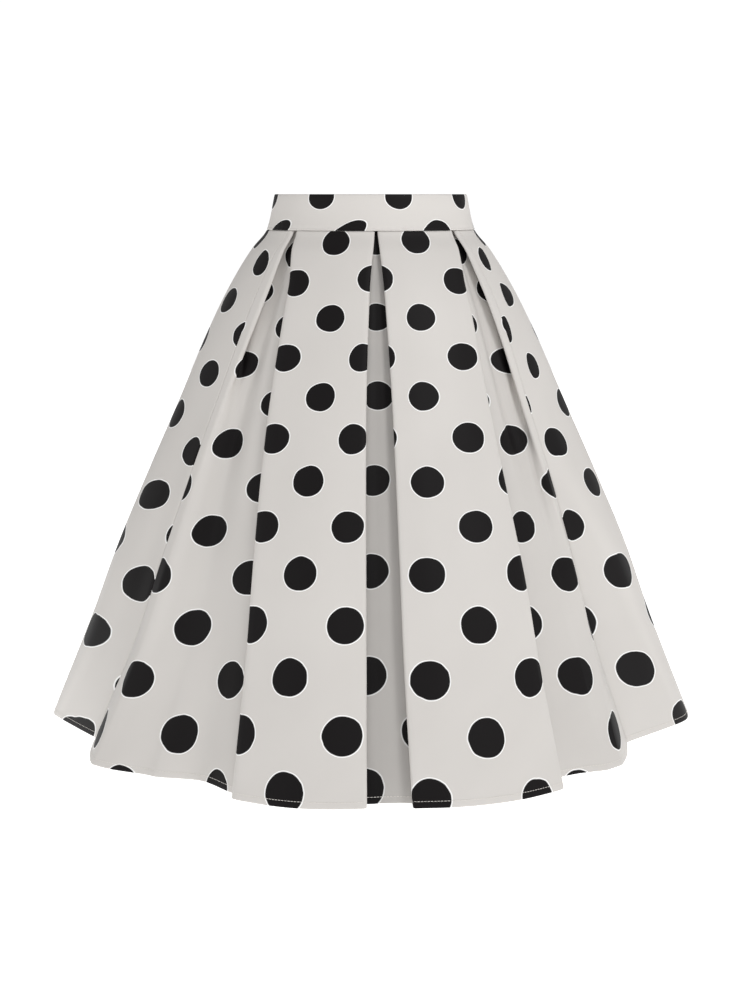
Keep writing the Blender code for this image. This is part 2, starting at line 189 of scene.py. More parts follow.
def pleat_path(place, drop):
    """Angle and recess of the points that the cloth passes through one pleat, front to back."""
    row = Pleat(drop, *read_table(place.table, drop))
    side = -1 if place.apex < 0 else 1
    apex = abs(place.apex) + place.drift * share_down(drop)
    near, crest = apex + row.near, apex + row.crest
    rise = apex + row.rise
    layer = LAYER_TOP + (LAYER_HEM - LAYER_TOP) * share_down(drop)
    mm = degrees_of(0.001, drop, apex)
    turn = FOLD_RADIUS * 1000 * mm
    tuck, far_tuck = row.near_tuck * mm, row.crest_tuck * mm
    top, under = row.near_recess / 1000, row.under / 1000
    path = [
        (near - turn, top),
        (near, top + layer / 2),
        (near - turn, top + layer),
        (near - tuck / 2, top + layer),
        (near - tuck + turn, top + layer),
        (near - tuck, top + 1.5 * layer),
        (near - tuck + turn, top + 2 * layer),
        (near - tuck * TUCK_TURN, max(top + 2 * layer, 0.5 * (top + 2 * layer + under))),
        (near + min(turn, (crest - near) / 4), max(top + 2 * layer, under)),
        (apex + row.deep, row.deep_recess / 1000),
        (rise, row.rise_recess / 1000),
    ]
    high = row.crest_recess / 1000
    closed = [
        (crest + far_tuck * TUCK_TURN, high + 2 * layer),
        (crest + far_tuck - turn, high + 2 * layer),
        (crest + far_tuck, high + 1.5 * layer),
        (crest + far_tuck - turn, high + layer),
        (crest + far_tuck / 2, high + layer),
        (crest + turn, high + layer),
        (crest, high + layer / 2),
        (crest + turn, high),
    ]
    for i, (angle, recess) in enumerate(closed):
        share = (i + 1) / len(closed)
        eased = (3 - 2 * share) * share * share
        open_angle = rise + (crest + turn - rise) * share
        open_recess = (row.rise_recess / 1000) * (1 - eased) + high * eased
        path.append((
            angle + (open_angle - angle) * row.crest_open,
            recess + (open_recess - recess) * row.crest_open,
        ))
    path.append(((crest + turn + apex + row.valley) / 2, (high + row.valley_recess / 1000) / 2))
    path.append((apex + row.valley, row.valley_recess / 1000))
    path.append((apex + row.shoulder, 0.0))
    return [(side * angle, recess) for angle, recess in path]


def face(start, end, drop):
    """The flat of a panel between two pleats, a little fuller than the ellipse."""
    crown = FACE_CROWN * share_down(drop)
    points = []
    for i in range(1, FACE_STEPS):
        s = i / FACE_STEPS
        angle = start[0] + (end[0] - start[0]) * s
        points.append((angle, start[1] + (end[1] - start[1]) * s - crown * sin(pi * s)))
    return points


def joined(parts, drop):
    """One path through the parts, with a face between each and the next."""
    path = list(parts[0])
    for part in parts[1:]:
        path += face(path[-1], part[0], drop) + part
    return path


def seam_trim(drop, angle):
    """How far a panel stops short of the side front seam, which bends inwards towards the hem."""
    trim = SEAM_GAP / 2 + CLOTH_THICK / 2 * VALLEY_SLOPE * share_down(drop)
    return degrees_of(trim, drop, angle)


def front_path(drop):
    """From the left side front seam across the front to the right one."""
    left, centre, right = (pleat_path(place, drop) for place in FRONT_PLACES)
    left = left[VALLEY_POINT::-1]
    centre = centre[:VALLEY_POINT - 1]
    right = right[:VALLEY_POINT + 1]
    trim = seam_trim(drop, left[0][0])
    left[0] = (left[0][0] + trim, left[0][1])
    right[-1] = (right[-1][0] - trim, right[-1][1])
    return joined((left, centre, right), drop)


def back_path(side, drop):
    """From the side front seam round to the centre back."""
    front = FRONT_PLACES[0 if side < 0 else 2]
    start = [(abs(angle), recess) for angle, recess in pleat_path(front, drop)[VALLEY_POINT:]]
    start[0] = (start[0][0] + seam_trim(drop, start[0][0]), start[0][1])
    first, second = (pleat_path(place, drop)[:VALLEY_POINT - 1] for place in BACK_PLACES)
    gap = max(SEAM_GAP, ZIP_GAP * (1 - drop / ZIP_LENGTH))
    end = (180 - degrees_of(gap / 2, drop, 180), 0.0)
    return [(side * angle, recess) for angle, recess in joined((start, first, second, [end]), drop)]


PANELS = {
    "front_panel": front_path,
    "back_right_panel": lambda drop: back_path(1, drop),
    "back_left_panel": lambda drop: back_path(-1, drop)[::-1],
}
# Rows of a panel's mesh, the width of its facets, and the least and most facets between two of
# the path's points
ROWS = 112
FACET = 0.0068
FACETS = (3, 14)

# Soft troughs (positive) and ridges (negative) that hang in the cloth, placed by the angle at
# their upper and lower end
Crease = namedtuple("Crease", "top_angle low_angle top_drop low_drop width_mm depth_mm")
CREASES = (
    Crease(-26, -24, 0.09, 0.66, 16, 1.6),
    Crease(-14, -13, 0.22, 0.66, 22, -1.8),
    Crease(14, 12, 0.16, 0.60, 18, 1.5),
    Crease(24, 22, 0.30, 0.66, 24, -1.8),
    Crease(33, 33, 0.10, 0.45, 14, 1.2),
    Crease(-62, -66, 0.20, 0.62, 18, 2.0),
    Crease(-74, -82, 0.12, 0.66, 22, -2.2),
    Crease(64, 70, 0.18, 0.64, 20, 2.0),
    Crease(78, 84, 0.10, 0.66, 22, -2.2),
    Crease(122, 126, 0.14, 0.62, 22, 2.2),
    Crease(134, 139, 0.28, 0.66, 24, -2.0),
    Crease(170, 171, 0.24, 0.66, 18, 1.6),
    Crease(-118, -121, 0.10, 0.60, 20, 2.0),
    Crease(-131, -137, 0.30, 0.66, 24, -2.4),
    Crease(-169, -170, 0.16, 0.66, 20, 1.8),
)


def sway(points, drop):
    """How far the hanging cloth lies inside its drafted line, alike for all layers at a place."""
    half_width, half_depth = body(drop)
    angle = np.degrees(np.arctan2(points[:, 0] / half_width, -points[:, 1] / half_depth))
    mm_per_degree = 1000 / degrees_of(1, drop, 45)
    inward = np.zeros(len(points))
    for crease in CREASES:
        share = (drop - crease.top_drop) / (crease.low_drop - crease.top_drop)
        if not 0 < share < 1:
            continue
        middle = crease.top_angle + (crease.low_angle - crease.top_angle) * share
        away = (angle - middle) * mm_per_degree / crease.width_mm
        inward += crease.depth_mm * sin(pi * share) * np.exp(-away * away)
    return inward / 1000


class Cloth:
    """A grid of points on a panel, with each column's place along the path's own points."""

    def __init__(self, path_at, drops, shifts=None):
        self.drops = np.asarray(drops)
        middle = self.control(path_at, self.drops[len(drops) * 2 // 3], 0)
        steps = np.linalg.norm(np.diff(middle, axis=0), axis=1) / FACET
        steps = np.clip(np.round(steps), *FACETS).astype(int)
        self.knots = np.concatenate(
            [i + np.arange(count) / count for i, count in enumerate(steps)] + [[len(steps)]]
        )
        shifts = np.zeros(len(drops)) if shifts is None else shifts
        self.depths = []
        self.points = np.array([
            self.row(path_at, drop, shift) for drop, shift in zip(self.drops, shifts)
        ])
        stride = np.linalg.norm(np.diff(self.points, axis=1), axis=2)
        self.along = np.concatenate([np.zeros((len(drops), 1)), np.cumsum(stride, axis=1)], axis=1)

    @staticmethod
    def control(path_at, drop, shift):
        """The points that one row passes through, moved in by the shift."""
        path = np.array(path_at(max(drop, SKIRT_TOP)))
        return on_body(drop, path[:, 0], path[:, 1] + shift)

    def row(self, path_at, drop, shift):
        """One row of points, whose depths inside the ellipse are noted too."""
        control = self.control(path_at, drop, shift)
        lengths = np.sqrt(np.linalg.norm(np.diff(control, axis=0), axis=1))
        place = np.concatenate([[0], np.cumsum(lengths)])
        points = smooth(np.interp(self.knots, np.arange(len(place)), place), place, control)
        half_width, half_depth = body(drop)
        reach = np.hypot(points[:, 0] / half_width, points[:, 1] / half_depth)
        self.depths.append((1 - reach) * half_width)
        inward = np.stack([-points[:, 0], -points[:, 1], points[:, 2] * 0], -1)
        inward /= np.linalg.norm(inward, axis=1, keepdims=True)
        return points + inward * sway(points, drop)[:, None]

    def at_knot(self, knot):
        """The length along the path at one of its own points, for each row."""
        return self.along[:, int(np.argmin(np.abs(self.knots - knot)))]


# The print: columns of dots half a pitch apart, every other one moved down by half a pitch. A
# line is where one column runs on the folded cloth. Its places give a drop, the length in mm past
# one of the path's points, how many rows the print has sunk there, and how wide it is stretched.
Line = namedtuple("Line", "number knot places")
Zone = namedtuple("Zone", "first last lines")
ROW_DROPS = ((0.0130, -1), (0.0536, 0), (0.1362, 2), (0.2209, 4), (0.3108, 6), (0.4042, 8),
             (0.5115, 10), (0.6232, 12), (0.6790, 13))
HALF_PITCH = ((SKIRT_TOP, 0.047), (0.22, 0.049), (0.40, 0.055), (HEM_DROP, 0.062))
FRONT_PRINT = (
    Zone(0, 12, (
        Line(-7, 11, ((0.05, -160, 0.6, 1), (0.54, -160, 0.64, 1), (0.61, -160, 0.7, 1),
            (0.638, -158, 0.7, 1))),
        Line(-6, 11, ((0.05, -122, 0.4, 1), (0.107, -120, 0.4, 1), (0.149, -102, 0.4, 1),
            (0.234, -83, 0.4, 1), (0.336, -91, 0.4, 1), (0.428, -99, 0.44, 1.2),
            (0.54, -100, 0.51, 1.15), (0.638, -100, 0.5, 1))),
        Line(-5, 11, ((0.05, -30, 0.6, 1), (0.107, -36, 0.42, 1), (0.193, -38, 0.33, 0.8),
            (0.28, -37, 0.31, 1.05), (0.375, -40, 0.39, 1), (0.478, -38, 0.40, 1),
            (0.591, -29, 0.43, 0.97), (0.638, -25, 0.45, 0.97))),
        Line(-4, 11, ((0.068, -1, 0.36, 0.9), (0.148, 23, 0.29, 1), (0.234, 29, 0.24, 1),
            (0.336, 33, 0.22, 1), (0.44, 30, 0.23, 1), (0.55, 27, 0.25, 1),
            (0.638, 30, 0.3, 1))),
    )),
    Zone(19, 27, (
        Line(-1, 26, ((0.05, -84, 0.12, 1), (0.099, -84, 0.12, 1.08), (0.181, -92, 0.07, 1.08),
            (0.267, -103, 0.05, 1.06), (0.357, -114, 0.08, 1.04), (0.461, -127, 0.09, 1.04),
            (0.57, -141, 0.12, 1), (0.638, -146, 0.12, 1))),
        Line(0, 26, ((0.053, -41, 0, 1.03), (0.137, -39, 0.02, 1.05), (0.221, -46, 0.01, 1.08),
            (0.309, -60, -0.03, 1.10), (0.403, -69, 0, 1.05), (0.51, -82, -0.03, 1),
            (0.621, -86, 0, 1))),
        Line(1, 26, ((0.053, 4, 0, 1), (0.093, 4, -0.03, 1), (0.179, -4, 0.03, 1),
            (0.264, -13, 0, 1), (0.356, -18, 0, 1), (0.457, -20, 0, 1), (0.566, -23, 0, 1.02),
            (0.638, -24, 0.03, 1))),
    )),
    Zone(34, 36.5, (
        Line(4, 35, ((0.05, 0, 0, 1), (0.221, 1, 0, 1), (0.31, -5, 0, 1), (0.403, -9, 0, 1),
            (0.51, -14, 0, 1), (0.638, -21, 0, 1))),
    )),
    Zone(43, 51, (
        Line(5, 44, ((0.093, -7.5, -0.03, 1), (0.18, -11.5, 0.03, 1), (0.266, -16.5, 0, 1),
            (0.4, -28, 0, 1), (0.638, -45, 0, 1))),
        Line(6, 44, ((0.052, 40.5, -0.05, 1), (0.136, 35, 0, 0.97), (0.22, 31, 0, 0.96),
            (0.313, 31, 0.01, 1), (0.405, 26, 0.045, 1.03), (0.513, 25, 0.03, 1.08),
            (0.625, 16, 0.13, 0.95))),
        Line(7, 44, ((0.098, 87, 0.08, 1.12), (0.18, 84, 0.05, 1.18), (0.267, 83, 0.025, 1.18),
            (0.36, 85, 0.06, 1.06), (0.46, 81, 0.06, 1), (0.572, 83, 0.11, 0.96),
            (0.638, 83, 0.1, 1))),
        Line(8, 44, ((0.098, 134, 0.1, 1), (0.267, 135, 0.09, 1), (0.32, 139.5, 0.1, 1),
            (0.42, 141, 0.17, 1), (0.52, 143, 0.155, 1), (0.631, 139, 0.33, 1))),
    )),
    Zone(58, 70, (
        Line(10, 59, ((0.05, 8, 0.3, 0.9), (0.066, 8, 0.3, 0.9), (0.144, -24, 0.21, 1),
            (0.233, -39, 0.22, 1), (0.32, -42, 0.22, 1), (0.427, -60, 0.3, 1),
            (0.638, -120, 0.3, 1))),
        Line(11, 59, ((0.05, 34, 0.35, 1), (0.108, 34, 0.35, 1), (0.189, 41, 0.27, 0.95),
            (0.277, 12, 0.25, 1.4), (0.37, -4, 0.27, 0.95), (0.45, -19, 0.27, 0.9),
            (0.638, -70, 0.3, 1))),
        Line(12, 59, ((0.05, 125, 0.4, 1), (0.149, 104, 0.35, 1), (0.234, 79, 0.33, 1),
            (0.325, 63, 0.36, 0.95), (0.427, 50, 0.44, 1.22), (0.534, 33, 0.42, 1.18),
            (0.637, 2, 0.55, 0.9))),
        Line(13, 59, ((0.05, 172, 0.4, 1), (0.325, 108, 0.35, 1), (0.427, 102, 0.5, 1),
            (0.601, 77, 0.66, 1), (0.638, 62, 0.6, 1))),
    )),
)
# Columns past the side front seams, as mm from the seam
RIGHT_COLUMNS = (
    Line(0, 0, ((0.0425, 24, 0.6, 0.8), (0.075, 20, 0.51, 0.8), (0.151, 3, 0.42, 0.9),
        (0.638, -60, 0.4, 1))),
    Line(1, 0, ((0.0425, 49, 0.96, 1), (0.117, 24, 0.50, 0.75), (0.196, 31, 0.44, 0.65),
        (0.283, 26, 0.38, 1.45), (0.378, 8, 0.44, 0.85), (0.47, -16, 0.57, 1), (0.6, -48, 0.7, 1),
        (0.638, -55, 0.7, 1))),
    Line(2, 0, ((0.0425, 112, 0.7, 1), (0.246, 92, 0.54, 0.9), (0.338, 87, 0.58, 0.95),
        (0.45, 77, 0.73, 1.2), (0.558, 57, 0.84, 1.15), (0.638, 48, 0.9, 1.1))),
    Line(3, 0, ((0.0425, 160, 0.8, 1), (0.25, 152, 0.62, 1), (0.34, 150, 0.65, 1),
        (0.47, 158, 0.75, 1), (0.62, 127, 1.18, 1), (0.638, 124, 1.18, 1))),
)
LEFT_COLUMNS = (
    Line(0, 0, ((0.0425, 28, 0.6, 0.8), (0.076, 17, 0.61, 0.8), (0.16, -7, 0.53, 0.9),
        (0.638, -110, 0.5, 1))),
    Line(1, 0, ((0.0425, 53, 0.98, 1.1), (0.123, 54, 0.66, 1.25), (0.203, 33, 0.62, 1.1),
        (0.289, 11, 0.55, 0.9), (0.37, -22, 0.5, 1), (0.638, -80, 0.5, 1))),
    Line(2, 0, ((0.0425, 116, 0.95, 1), (0.256, 80, 0.75, 1.05), (0.345, 61, 0.75, 1.5),
        (0.442, 24, 0.73, 1.35), (0.55, -50, 0.8, 1), (0.638, -60, 0.8, 1))),
    Line(3, 0, ((0.0425, 172, 1.1, 1), (0.256, 155, 1.1, 1), (0.41, 137, 1.07, 1),
        (0.525, 104, 1.06, 1.2), (0.638, 56, 1.45, 1.45))),
    Line(4, 0, ((0.0425, 220, 1.2, 1), (0.41, 190, 1.2, 1), (0.638, 150, 1.4, 1))),
)
# Width of the back panels' columns over the front's, and how many columns the print runs on
COLUMN_STRETCH = 1.03
FAR = 40
# Column number that the print reaches at the centre back seam, and its sinking there
LAST_COLUMNS = {1: 14.5, -1: 13.5}
LAST_SINK = 1.0


def spread(lengths, numbers, half_pitch, at):
    """The column number at these lengths, from the known columns and the pitch past them."""
    lengths = [lengths[0] - FAR * half_pitch, *lengths, lengths[-1] + FAR * half_pitch]
    numbers = [numbers[0] - FAR, *numbers, numbers[-1] + FAR]
    return np.interp(at, lengths, numbers)


def front_print(cloth, i):
    """Column, row and stretch of the print at each point of the front panel's row i."""
    drop = float(np.clip(cloth.drops[i], SKIRT_TOP, HEM_DROP))
    half_pitch = float(read_table(HALF_PITCH, drop)[0])
    lengths, numbers, sinks, widths = [], [], [], []
    for zone in FRONT_PRINT:
        start, end = cloth.at_knot(zone.first)[i], cloth.at_knot(zone.last)[i]
        lines = [read_table(line.places, drop) for line in zone.lines]
        known = [cloth.at_knot(line.knot)[i] + at[0] / 1000
                 for line, at in zip(zone.lines, lines)]
        inside = [start, *[k for k in known if start < k < end], end]
        lengths += inside
        numbers += list(spread(known, [line.number for line in zone.lines], half_pitch, inside))
        sinks += list(np.interp(inside, known, [at[1] for at in lines]))
        widths += list(np.interp(inside, known, [at[2] for at in lines]))
    here = cloth.along[i]
    rows = float(read_table(ROW_DROPS, cloth.drops[i])[0]) - np.interp(here, lengths, sinks)
    return np.interp(here, lengths, numbers), rows, np.interp(here, lengths, widths)


def back_print(cloth, i, side):
    """The same for a back panel, whose side front seam is its first or last point."""
    drop = float(np.clip(cloth.drops[i], SKIRT_TOP, HEM_DROP))
    pitch = float(read_table(HALF_PITCH, drop)[0]) * COLUMN_STRETCH
    columns = RIGHT_COLUMNS if side > 0 else LEFT_COLUMNS
    from_seam = cloth.along[i] if side > 0 else cloth.along[i][-1] - cloth.along[i]
    lines = [(mm / 1000, sink, wide)
             for mm, sink, wide in (read_table(line.places, drop) for line in columns)]
    # Past the columns that the front view fixes, the print keeps to the panel down its flare
    first = lines[-1][0] + pitch
    numbers = [line.number for line in columns]
    numbers += [numbers[-1] + 1, LAST_COLUMNS[side]]
    spacing = (from_seam.max() - first) / (numbers[-1] - numbers[-2])
    wide = pitch / spacing
    lines += [(first, lines[-1][1], wide), (from_seam.max(), LAST_SINK, wide)]
    known, sinks, widths = zip(*lines)
    rows = float(read_table(ROW_DROPS, cloth.drops[i])[0]) - np.interp(from_seam, known, sinks)
    across = spread(known, numbers, pitch, from_seam)
    return side * across, rows, np.interp(from_seam, known, widths)


def fresh_object(name, data):
    made = bpy.data.objects.new(name, data)
    bpy.context.scene.collection.objects.link(made)
    return made


def deselect():
    if bpy.context.object and bpy.context.object.mode != "OBJECT":
        bpy.ops.object.mode_set(mode="OBJECT")
    bpy.ops.object.select_all(action="DESELECT")


def activate(made):
    deselect()
    made.select_set(True)
    bpy.context.view_layer.objects.active = made


def apply_modifiers(made):
    activate(made)
    for modifier in list(made.modifiers):
        bpy.ops.object.modifier_apply(modifier=modifier.name)


def thicken(made, thickness, *materials):
    """Gives a sheet its thickness, half to each side, and its materials, the reverse one last."""
    solid = made.modifiers.new("Cloth", "SOLIDIFY")
    solid.thickness = thickness
    solid.offset = 0
    solid.material_offset = len(materials) - 1
    for material in materials:
        made.data.materials.append(bpy.data.materials[material])
    apply_modifiers(made)
    made.data.shade_smooth()


def grid_mesh(name, points, maps):
    """A mesh over a grid of points, whose faces look out where its rows run down and its columns
    run round the body towards +X across the front. maps holds a pair of values for each point."""
    rows, columns = points.shape[:2]
    number = np.arange(rows * columns).reshape(rows, columns)
    faces = np.stack([
        number[:-1, :-1], number[1:, :-1], number[1:, 1:], number[:-1, 1:],
    ], -1).reshape(-1, 4)
    mesh = bpy.data.meshes.new(name)
    mesh.from_pydata(points.reshape(-1, 3).tolist(), [], faces.tolist())
    corners = np.empty(len(mesh.loops), int)
    mesh.loops.foreach_get("vertex_index", corners)
    for title, values in maps.items():
        layer = mesh.uv_layers.new(name=title)
        layer.data.foreach_set("uv", np.asarray(values, float).reshape(-1, 2)[corners].ravel())
    mesh.shade_smooth()
    return mesh


def outward(points):
    """The direction out of the cloth at each point of a grid."""
    across = np.gradient(points, axis=1)
    down = np.gradient(points, axis=0)
    normal = np.cross(down, across)
    return normal / np.maximum(np.linalg.norm(normal, axis=2, keepdims=True), 1e-12)


def level_outward(points):
    """The same in one level row, where only the way round matters."""
    across = np.gradient(points, axis=0)
    across[:, 2] = 0
    normal = np.cross((0, 0, -1), across)
    return normal / np.maximum(np.linalg.norm(normal, axis=1, keepdims=True), 1e-12)


# How far the turned-up hem lies inside the panel. A pressed seam edge ends in three columns, each
# so far back from the seam and so far in from the cloth.
HEM_TURN = 0.0012
EDGE_BACK = (0.0008, 0.00020, 0.00015)
EDGE_IN = (0.0, 0.00038, 0.0024)


def seam_edge(points):
    """Ends every row with the cloth turned in, as at a pressed seam."""
    for end in (0, -1):
        last, before = points[:, end], points[:, 1 if end == 0 else -2]
        tangent = last - before
        tangent /= np.linalg.norm(tangent, axis=1, keepdims=True)
        inward = -outward(points)[:, end]
        turned = [last - tangent * back + inward * depth for back, depth in zip(EDGE_BACK, EDGE_IN)]
        middle = points[:, 1:] if end == 0 else points[:, :-1]
        turned = np.stack(turned, 1)
        if end == 0:
            points = np.concatenate([turned[:, ::-1], middle], axis=1)
        else:
            points = np.concatenate([middle, turned], axis=1)
    return points


# Painted shade: how much darker the cloth is drawn behind the middle pleat's edges and behind
# the others', and the depths inside the ellipse between which that painted shade sets in
PAINTED_FOLD_SHADE = (0.26, 0.05)
FOLD_DEPTHS = (0.0035, 0.0125)
MIDDLE_HALF = 0.05


def painted_fold_shade(cloth):
    """1 on the open cloth, and less on what lies behind the pleats' edges, as painted shade."""
    share = np.interp(np.array(cloth.depths), FOLD_DEPTHS, (0, 1))
    middle = (np.abs(cloth.points[..., 0]) < MIDDLE_HALF) & (cloth.points[..., 1] < 0)
    return 1 - np.where(middle, *PAINTED_FOLD_SHADE) * share * share * (3 - 2 * share)


def pad_columns(values):
    """Repeats the end columns for the two that each seam edge adds."""
    return np.pad(values, ((0, 0), (2, 2)), mode="edge")


def panel_drops(hem_depth):
    """Levels of a panel's rows: close together at the waist seam and at the hem's stitches."""
    share = np.linspace(0, 1, ROWS)
    middle = SKIRT_TOP + 0.0005 + (HEM_DROP - hem_depth - SKIRT_TOP - 0.0005) * share ** 1.25
    low = HEM_DROP - hem_depth * np.array([0.7, 0.4, 0.15, 0.06])
    return np.concatenate([middle, low])


def turned_hem(points):
    """Adds the rows that fold the lower edge up inside, behind the panel's own last rows."""
    rows = []
    for source, depth, lift in ((-1, 0.45, -0.0003), (-1, 0.9, 0.0002), (-2, 1, 0), (-3, 1, 0),
                                (-4, 1, 0), (-5, 1, 0.0003)):
        row = points[source] - level_outward(points[source]) * HEM_TURN * depth
        row[:, 2] += lift
        rows.append(row)
    return np.concatenate([points, rows])


# The panels' upper edge is turned in under the band: so far above the waist seam, and so far in
TOP_EDGE = ((0.0006, 0.0022), (0.0003, 0.0006))
# Each panel's cloth, by name, whose rows the hem's stitches follow
CLOTHS = {}


def make_panel(name, settings):
    rises, turned_in = zip(*TOP_EDGE)
    drops = np.concatenate([SKIRT_TOP - np.array(rises), panel_drops(settings.hem_depth)])
    shifts = np.zeros(len(drops))
    shifts[:len(TOP_EDGE)] = turned_in
    cloth = Cloth(PANELS[name], drops, shifts)
    CLOTHS[name] = cloth
    side = {"front_panel": 0, "back_right_panel": 1, "back_left_panel": -1}[name]
    prints = [front_print(cloth, i) if side == 0 else back_print(cloth, i, side)
              for i in range(len(drops))]
    across, rows, stretch = (np.array(values) for values in zip(*prints))
    points = turned_hem(seam_edge(cloth.points))
    extra = len(points) - len(drops)
    # The stretch map also carries the painted shade behind the pleats' edges, as its second value
    maps = {}
    for title, first, second in (
        ("print", across, rows),
        ("stretch", stretch, painted_fold_shade(cloth)),
        ("thread", cloth.along, np.repeat(drops[:, None], across.shape[1], 1)),
    ):
        pair = np.stack([pad_columns(first), pad_columns(second)], -1)
        maps[title] = np.concatenate([pair, np.repeat(pair[-1:], extra, 0)])
    made = fresh_object(f"{name}_cloth", grid_mesh(name, points, maps))
    thicken(made, settings.cloth_thickness, FACE, REVERSE)
    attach(made, "skirt")
    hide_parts(name)
    return made


BAND_RISE = 0.0416
BAND_ROW = 0.0024
BAND_PITCH = 0.0465
BAND_COLUMN = 13.4
BAND_SKEW = 0.75
SIDE_SEAM = 90.0
BAND_SHELL = 0.0005
BAND_PROFILE = (
    (0.0390, 0.00055), (0.0406, 0.0004), (0.0411, 0.0001), (0.0409, -0.00025), (0.0402, -0.00035),
    (0.0396, -0.0003), (0.0391, -0.00015), (0.0386, -0.00008), (0.0381, -0.00015),
    (0.0374, -0.00034), (0.0345, -0.00036), (0.030, -0.00035), (0.024, -0.00035),
    (0.018, -0.00035), (0.012, -0.00035), (0.006, -0.00035), (0.0018, -0.00034),
    (0.0008, -0.00012), (0.00028, 0.00022), (0.00025, 0.0006), (0.0005, 0.001), (0.0014, 0.0013),
    (0.006, 0.00135), (0.016, 0.00135), (0.026, 0.00135), (0.036, 0.00135), (0.0381, 0.0012),
    (0.0386, 0.00112), (0.0391, 0.0012), (0.0404, 0.0013), (0.0411, 0.0011), (0.0408, 0.00085),
)
# Puckers along the seam at the band's lower edge: height, drop, reach and two waves, each with
# its length, its share and its turn
PUCKER = 0.00013
PUCKER_DROP = 0.0386
PUCKER_REACH = 0.0035
PUCKER_WAVES = ((0.0083, 1, 0), (0.0213, 0.6, 1.1))
# Lengths from the centre front's column between which the band's lower dots stop leaning, and the
# row below which they lean
LEAN_LENGTHS = (-0.02, 0.06)
LEAN_ROW = 0.65


def arc_length(drop, angles):
    points = on_body(drop, angles, np.zeros(len(angles)))
    return np.concatenate([[0], np.cumsum(np.linalg.norm(np.diff(points, axis=0), axis=1))])


def band_across(angles):
    """The print's column at these angles, counted from the column beside the centre front."""
    dense = np.linspace(-180, 180, 721)
    lengths = arc_length(BAND_DEPTH / 2, dense)
    lengths -= np.interp(BAND_COLUMN, dense, lengths)
    return np.interp(angles, dense, lengths)


def make_band(name, start, end, columns):
    angles = np.linspace(start, end, columns)
    lengths = band_across(angles)
    rows, prints = [], []
    for drop, recess in BAND_PROFILE:
        waves = sum(share * np.sin(lengths * 2 * pi / wave + turn)
                    for wave, share, turn in PUCKER_WAVES)
        pucker = PUCKER * np.exp(-((drop - PUCKER_DROP) / PUCKER_REACH) ** 2) * waves
        rows.append(on_body(drop, angles, recess + pucker))
        row = (drop - BAND_ROW) / BAND_RISE
        skew = BAND_SKEW * np.interp(lengths, LEAN_LENGTHS, (1, 0)) * max(row - LEAN_ROW, 0)
        prints.append(np.stack([lengths / BAND_PITCH + skew, lengths * 0 + row], -1))
    threads = [np.stack([lengths, lengths * 0 + drop], -1) for drop, recess in BAND_PROFILE]
    maps = {"print": prints, "stretch": np.ones(np.shape(prints)), "thread": threads}
    mesh = grid_mesh(name, np.array(rows), maps)
    mesh.flip_normals()
    made = fresh_object(f"{name}_cloth", mesh)
    thicken(made, BAND_SHELL, FACE)
    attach(made, "skirt")
    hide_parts(name)
    return made


FACE = "ivory polyester satin, printed"
REVERSE = "ivory polyester satin, reverse"
THREAD = "ivory polyester thread"
TAPE = "woven zip tape"
COIL = "moulded nylon coil"
ENAMEL = "ivory enamelled zinc"
FLOOR = "matte white paper"
SURROUND = "white surround"
WHITE = (1, 1, 1, 1)
BLACK = (0, 0, 0, 1)


def linear(colour):
    """A screen colour's values as the linear ones that a shader takes."""
    return (*[c / 12.92 if c <= 0.04045 else ((c + 0.055) / 1.055) ** 2.4 for c in colour[:3]], 1)


def hex_colour(text):
    return tuple(int(text[i:i + 2], 16) / 255 for i in (0, 2, 4))


def plug(tree, node, inputs):
    """Gives a node's inputs, by name or number, their values and their links."""
    for place, value in inputs.items():
        if isinstance(value, bpy.types.NodeSocket):
            tree.links.new(value, node.inputs[place])
        else:
            node.inputs[place].default_value = value


def add(tree, kind, inputs=(), out=0, **settings):
    """Adds a node with its settings, values and links, and gives one of its outputs."""
    made = tree.nodes.new(kind)
    for key, value in settings.items():
        setattr(made, key, value)
    plug(tree, made, inputs if isinstance(inputs, dict) else dict(enumerate(inputs)))
    return made.outputs[out]


def fresh_material(name):
    made = bpy.data.materials.new(name)
    made.use_nodes = True
    return made, made.node_tree, made.node_tree.nodes["Principled BSDF"]


# The dots' radius and the hairline's width in half pitches, and how softly and unevenly they end
DOT_RADIUS = 0.352
RING_WIDTH = 0.022
EDGE_SOFT = 0.005
EDGE_WANDER = 0.035
# Cells of each noise in a metre: the ink's edge wanders every 18 mm, the cloth has its clouds
# every 110 mm, the thread its twist every 0.6 mm, the coil its waxy clouds every 3 mm and the
# enamel its orange peel every 0.7 mm
EDGE_CELLS = 55.0
CLOUD_CELLS = 9.0
TWIST_CELLS = 1800.0
WAX_CELLS = 300.0
PEEL_CELLS = 1500.0
MATH = "ShaderNodeMath"
MIX = "ShaderNodeMix"


